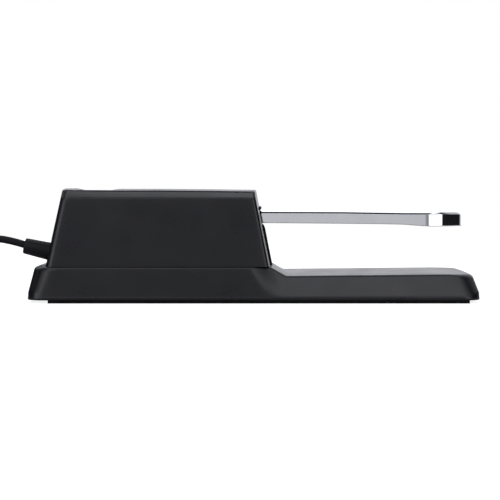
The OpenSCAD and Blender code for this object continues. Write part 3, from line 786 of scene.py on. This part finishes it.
def make_slot_rim_painted_shade():
    """A raised rim round the slot, dressed in dark matt rubber: painted shade, the black line at its side.
    Its flange stands proud of the front face, and sinks just below it beside the lever."""
    across = [(0.0, -2.6), (0.0, RIM_LIFT), (1.1, RIM_LIFT), (1.42, 1.08), (1.6, 0.8), (1.6, 0.0),
              (0.75, 0.0), (0.75, -2.6)]
    rows = list(zip(*[slot_line(grow, SEAM_Z + 0.02) for grow, _ in across]))
    points = []
    for row in rows:
        for (y, z), (_, lift) in zip(row, across):
            proud = 1 - ease(39.5, 41.5, z) * (1 - ease(48.4, 49.2, z))
            lift = mix(-RIM_SINK, lift, proud) if lift >= 0 else lift
            points.append((leaning_end(HOUSING_FRONT, 1, y, z) + lift, y, z))
    count = len(across)
    faces = grid_faces(len(rows), count, close_columns=True)
    faces.append(tuple(range(count)))
    faces.append(tuple(range((len(rows) - 1) * count, len(rows) * count)))
    return mesh_object("slot_rim_painted_shade", points, faces)


def make_housing():
    housing = housing_body("housing_moulding", 0, SEAM_Z)
    hollow = housing_body("hollow", SHELL_WALL, SEAM_Z - 3)
    posts = [prism("post", circle(x, y, POST_R), "z", POST_FOOT_Z, 58.2) for x, y in POST_XY]
    slot = prism("slot", slot_line(0.75, 12), "x", -8, 20)
    groove = prism("groove", GROOVE, "y", -44, 44)
    lean = HOUSING_REAR["tilt"] - QUARTER
    hole = lathe("hole", [(0, -8), (5.1, -8), (5.1, 6), (0, 6)],
                 Matrix.Translation(EXIT_POINT) @ Matrix.Rotation(lean, 4, "Y"))
    bores = [prism("bore", circle(x, y, BORE_R, 24), "z", 0, BORE_TOP_Z) for x, y in POST_XY]
    combine(housing, "DIFFERENCE", hollow)
    combine(housing, "UNION", *posts)
    combine(housing, "DIFFERENCE", slot, groove, hole, *bores)
    smooth(housing, 28)
    return housing


# ---------------------------------------------------------------- lever

def lever_outline():
    """Half of the lever's plan from its tail to the middle of its tip, as (point, inward direction)."""
    widths = [(LEVER_TAIL_X, 15.4), (-30, 15.4), (8, 17), (LEVER_TIP_X, LEVER_TIP_R)]
    xs = [mix(LEVER_TAIL_X, -45, i / 60) for i in range(60)]
    xs += [mix(-45, LEVER_TIP_X, i / 70) for i in range(70)]
    outline = []
    for x in xs:
        slope = (along(widths, x + 3) - along(widths, x - 3)) / 6 if x > LEVER_TAIL_X + 3 else 0.0
        outline.append((Vector((x, along(widths, x))), Vector((slope, -1)).normalized()))
    first = math.radians(93)
    for i in range(1, 41):
        a = first * (1 - i / 40)
        way = Vector((math.cos(a), math.sin(a)))
        outline.append((Vector((LEVER_TIP_X, 0)) + way * LEVER_TIP_R, -way))
    return outline


def lever_top(x, y):
    return along(LEVER_TOP, x) - sag(LEVER_CROWN_R, y)


def lever_under(x, y):
    return min(LEVER_UNDER_Z, lever_top(x, y) - 1.3)


def lever_edge(steps=5):
    """The lever's upper edge from its crown down to its skirt, as (distance in from the skirt, drop)."""
    points = [(0.0, 0.0)]
    for radius, first, last in LEVER_EDGE_ARCS:
        x, y = points[-1]
        start = math.radians(first)
        for i in range(1, steps + 1):
            a = math.radians(mix(first, last, i / steps))
            out = radius * (math.cos(a) - math.cos(start))
            drop = radius * (math.sin(start) - math.sin(a))
            points.append((x + out, y + drop))
    reach = points[-1][0]
    return [(reach - x, y) for x, y in points]


def make_lever():
    """A chromed channel with a crowned top, a rolled upper edge and an open underside."""
    inner_r, lip_r = 0.9, 0.2
    edge = lever_edge()
    rows = []
    for p, inward in lever_outline():
        foot_z = along(LEVER_FOOT, p.x)

        def at(depth, z):
            place = p + inward * depth
            return (place.x, max(place.y, 0.0), z)

        section = []
        shoulder = p + inward * edge[0][0]
        top_z = lever_top(shoulder.x, max(shoulder.y, 0.0))
        for share in (0, 0.12, 0.25, 0.38, 0.5, 0.62, 0.75, 0.88, 0.97, 1):
            y = max(shoulder.y, 0.0) * share
            section.append((shoulder.x, y, lever_top(shoulder.x, y)))
        section += [at(depth, top_z - drop) for depth, drop in edge[1:]]
        skirt_top = top_z - edge[-1][1]
        section += [at(0.0, mix(skirt_top, foot_z + lip_r, share)) for share in (0.04, 0.35, 0.65, 0.96, 1)]
        for i in range(1, 4):
            turn = QUARTER * i / 3
            section.append(at(lip_r * (1 - math.cos(turn)), foot_z + lip_r * (1 - math.sin(turn))))
        for i in range(3):
            turn = QUARTER * (1 - i / 2)
            depth = LEVER_WALL - lip_r * (1 - math.cos(turn))
            section.append(at(depth, foot_z + lip_r * (1 - math.sin(turn))))
        roof = p + inward * (LEVER_WALL + inner_r)
        roof_z = lever_under(roof.x, max(roof.y, 0.0))
        wall_top = max(roof_z - inner_r, foot_z + lip_r + 0.02)
        section.append(at(LEVER_WALL, wall_top))
        for i in range(1, 5):
            turn = QUARTER * i / 4
            section.append(at(LEVER_WALL + inner_r * (1 - math.cos(turn)),
                              mix(wall_top, roof_z, math.sin(turn))))
        for i in range(1, 7):
            y = max(roof.y, 0.0) * (1 - i / 6)
            section.append((roof.x, y, lever_under(roof.x, y)))
        rows.append(section)
    count = len(rows[0])
    mirrored = [row + [(x, -y, z) for x, y, z in row] for row in rows]
    points = [p for row in mirrored for p in row]
    width = 2 * count
    faces = []
    for i in range(len(rows) - 1):
        for j in range(count - 1):
            a, b = i * width + j, (i + 1) * width + j
            faces.append((a, a + 1, b + 1, b))
            faces.append((a + count, b + count, b + count + 1, a + count + 1))
    faces.append(tuple(range(count)) + tuple(range(2 * count - 2, count, -1)))
    lever = mesh_object("chrome_lever", points, faces, crease=50)
    bore = lathe("bore", [(0, -30), (3.02, -30), (3.02, 30), (0, 30)],
                 Matrix.Translation(PIVOT) @ Matrix.Rotation(QUARTER, 4, "X"))
    combine(lever, "DIFFERENCE", bore)
    smooth(lever, 45)
    return lever


def make_spring():
    """Return spring with a closed turn at each end."""
    low = SPRING_FLOOR_Z + SPRING_WIRE_R
    high = SPRING_ROOF_Z - SPRING_WIRE_R
    pitch = (high - low - 4 * SPRING_WIRE_R) / (SPRING_TURNS - 2)
    path = []
    steps = 36
    for i in range(SPRING_TURNS * steps + 1):
        t = i / steps
        z = low + min(t, 1) * 2 * SPRING_WIRE_R + pitch * max(0, min(t - 1, SPRING_TURNS - 2))
        z += 2 * SPRING_WIRE_R * max(0, t - SPRING_TURNS + 1)
        a = math.tau * t
        path.append(Vector((SPRING_X + SPRING_R * math.cos(a), SPRING_R * math.sin(a), z)))
    return tube("coil_spring", path, SPRING_WIRE_R, sides=14)


install(make_base(), "root", "black_plastic", "base_shell")
install(make_housing(), "root", "black_plastic", "upper_housing")
# The rim round the slot gets dark matt rubber as painted shade for the black line beside the front face
install(make_slot_rim_painted_shade(), "root", "rubber")
install(make_lever(), "lever", "chrome", "pedal_lever")
spring = install(make_spring(), "root", "steel", "return_spring")
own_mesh(spring)

CAD_SLOTS = {
    "rubber": ["rubber_sole", "rest_stop_pad", "down_stop_bumper"],
    "steel": ["bottom_plate", "housing_screws", "tongue_screws", "mechanism_screws", "pivot_bracket",
              "stop_bracket", "bracket_rivets", "pivot_shaft", "shaft_clip_left", "shaft_clip_right",
              "board_screws"],
    "nylon": ["pivot_bush_left", "pivot_bush_right", "spring_seat", "spring_cap", "switch_plunger",
              "striker"],
    "black_plastic": ["stop_post", "switch_tower", "switch_body"],
    "circuit_board": ["switch_board"],
    "red_wire": ["signal_wire"],
    "cord_jacket": ["ground_wire"],
    "plug_metal": ["plug_sleeve", "plug_tip"],
    "plug_plastic": ["plug_insulator"],
}
for slot, names in CAD_SLOTS.items():
    for name in names:
        dress(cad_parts[name], slot)


# ---------------------------------------------------------------- floor and light

def make_floor():
    """A plain pale floor under the object, overexposed to the camera as in a light tent."""
    data = bpy.data.meshes.new("floor")
    rim = [(FLOOR_R * x * MM, FLOOR_R * y * MM, 0.0) for x, y in circle(0, 0, 1000, 96)]
    data.from_pydata(rim, [], [tuple(range(len(rim)))])
    floor = bpy.data.objects.new("floor", data)
    bpy.context.scene.collection.objects.link(floor)
    n = Nodes("Pale floor")
    haze = n.noise(0.4, 3)
    tone = n.blend(n.spread(haze, 0.0, 1.0), rgb(0.54, 0.54, 0.55), rgb(0.56, 0.56, 0.56))
    n.shader.inputs["Emission Color"].default_value = rgb(1, 1, 1)
    exposure = n.add("ShaderNodeMath", operation="MULTIPLY")
    n.feed(exposure.inputs[0], n.add("ShaderNodeLightPath").outputs["Is Camera Ray"])
    exposure.inputs[1].default_value = 0.85
    pale = n.finish(Base_Color=tone, Roughness=0.9, Emission_Strength=exposure.outputs[0])
    floor.data.materials.append(pale)


def ramp(tree, value, stops):
    """A colour ramp over 0 ... 1 with grey stops (place, brightness)."""
    node = tree.nodes.new("ShaderNodeValToRGB")
    node.color_ramp.interpolation = "LINEAR"
    elements = node.color_ramp.elements
    elements.remove(elements[1])
    elements[0].position = stops[0][0]
    for place, _ in stops[1:]:
        elements.new(place)
    for element, (_, grey) in zip(elements, stops):
        element.color = (grey, grey, grey, 1)
    tree.links.new(value, node.inputs["Fac"])
    return node.outputs["Color"]


def stops_from_degrees(stops):
    return [((degrees + 180) / 360, grey) for degrees, grey in stops]


def make_light():
    """Studio light as a world: softboxes to the front and sides, dark flags between them, a bright ceiling
    and a bright backdrop. The camera itself sees a plain white backdrop."""
    world = bpy.data.worlds.new("studio")
    bpy.context.scene.world = world
    world.use_nodes = True
    tree = world.node_tree
    tree.nodes.clear()

    def add(kind, **settings):
        node = tree.nodes.new(kind)
        for key, value in settings.items():
            setattr(node, key, value)
        return node

    def math_node(operation, first, second):
        node = add("ShaderNodeMath", operation=operation)
        for socket, value in zip(node.inputs, (first, second)):
            if isinstance(value, bpy.types.NodeSocket):
                tree.links.new(value, socket)
            else:
                socket.default_value = value
        return node.outputs[0]

    def step(value, low, high, top=1.0):
        node = add("ShaderNodeMapRange", interpolation_type="SMOOTHSTEP")
        node.inputs["From Min"].default_value = low
        node.inputs["From Max"].default_value = high
        node.inputs["To Max"].default_value = top
        tree.links.new(value, node.inputs["Value"])
        return node.outputs["Result"]

    def share_of_turn(across, ahead):
        angle = math_node("ARCTAN2", across, ahead)
        return math_node("ADD", math_node("DIVIDE", angle, math.tau), 0.5)

    def blend(amount, first, second):
        node = add("ShaderNodeMix", data_type="RGBA")
        for key, value in (("Factor", amount), ("A", first), ("B", second)):
            tree.links.new(value, node.inputs[key])
        return node.outputs["Result"]

    parts = add("ShaderNodeSeparateXYZ")
    tree.links.new(add("ShaderNodeTexCoord").outputs["Generated"], parts.inputs["Vector"])
    across, up = parts.outputs["X"], parts.outputs["Z"]
    ahead = math_node("MULTIPLY", parts.outputs["Y"], -1.0)
    round_angle = share_of_turn(across, ahead)
    over_angle = share_of_turn(up, ahead)

    def ring(front):
        return ramp(tree, round_angle, stops_from_degrees([
            (-180, 1.08), (-172, 1.08), (-160, 0.01), (-76, 0.01), (-66, 2.4), (-38, 2.4), (-30, front),
            (2, front), (10, 0.25), (15, 0.25), (18, 1.7), (54, 1.7), (57, 0.01), (134, 0.01), (154, 1.08),
            (180, 1.08)]))

    low_ring = blend(step(up, 0.03, 0.1), ring(0.53), ring(0.26))
    high_ring = ramp(tree, round_angle, stops_from_degrees([
        (-180, 1.08), (-165, 0.75), (-150, 0.5), (-105, 0.4), (-85, 0.02), (-50, 0.02), (-30, 1.9), (0, 1.9),
        (12, 1.6), (30, 0.9), (55, 0.5), (72, 0.2), (88, 0.02), (105, 0.4), (150, 0.5), (165, 0.75),
        (180, 1.08)]))
    arch = ramp(tree, over_angle, stops_from_degrees([
        (-180, 0.4), (0, 0.53), (8, 0.26), (24, 0.26), (31, 1.85), (48, 1.85), (51, 0.0), (88, 0.0),
        (93, 1.9), (106, 1.9), (118, 0.85), (135, 0.55), (160, 0.7), (170, 0.9), (174, 1.08), (180, 1.08)]))
    ceiling = step(math_node("ABSOLUTE", across, 0.0), 0.22, 0.34)
    over = blend(ceiling, arch, ramp(tree, up, [(0.0, 0.0), (0.86, 0.02), (0.95, 1.9), (1.0, 1.9)]))
    sides = blend(step(up, 0.2, 0.42), low_ring, high_ring)
    aside = step(math_node("ABSOLUTE", across, 0.0), 0.12, 0.22, 0.52)
    studio_colour = blend(step(math_node("SUBTRACT", up, aside), 0.22, 0.36), sides, over)
    cool = add("ShaderNodeMix", data_type="RGBA", blend_type="MULTIPLY")
    cool.inputs["Factor"].default_value = 1.0
    tree.links.new(studio_colour, cool.inputs["A"])
    cool.inputs["B"].default_value = (0.985, 0.99, 1.05, 1)
    studio = add("ShaderNodeBackground")
    tree.links.new(cool.outputs["Result"], studio.inputs["Color"])
    backdrop = add("ShaderNodeBackground")
    backdrop.inputs["Color"].default_value = (1, 1, 1, 1)
    choose = add("ShaderNodeMixShader")
    tree.links.new(add("ShaderNodeLightPath").outputs["Is Camera Ray"], choose.inputs["Fac"])
    tree.links.new(studio.outputs[0], choose.inputs[1])
    tree.links.new(backdrop.outputs[0], choose.inputs[2])
    tree.links.new(choose.outputs[0], add("ShaderNodeOutputWorld").inputs["Surface"])
    bpy.context.scene.view_settings.view_transform = "Standard"


make_floor()
make_light()
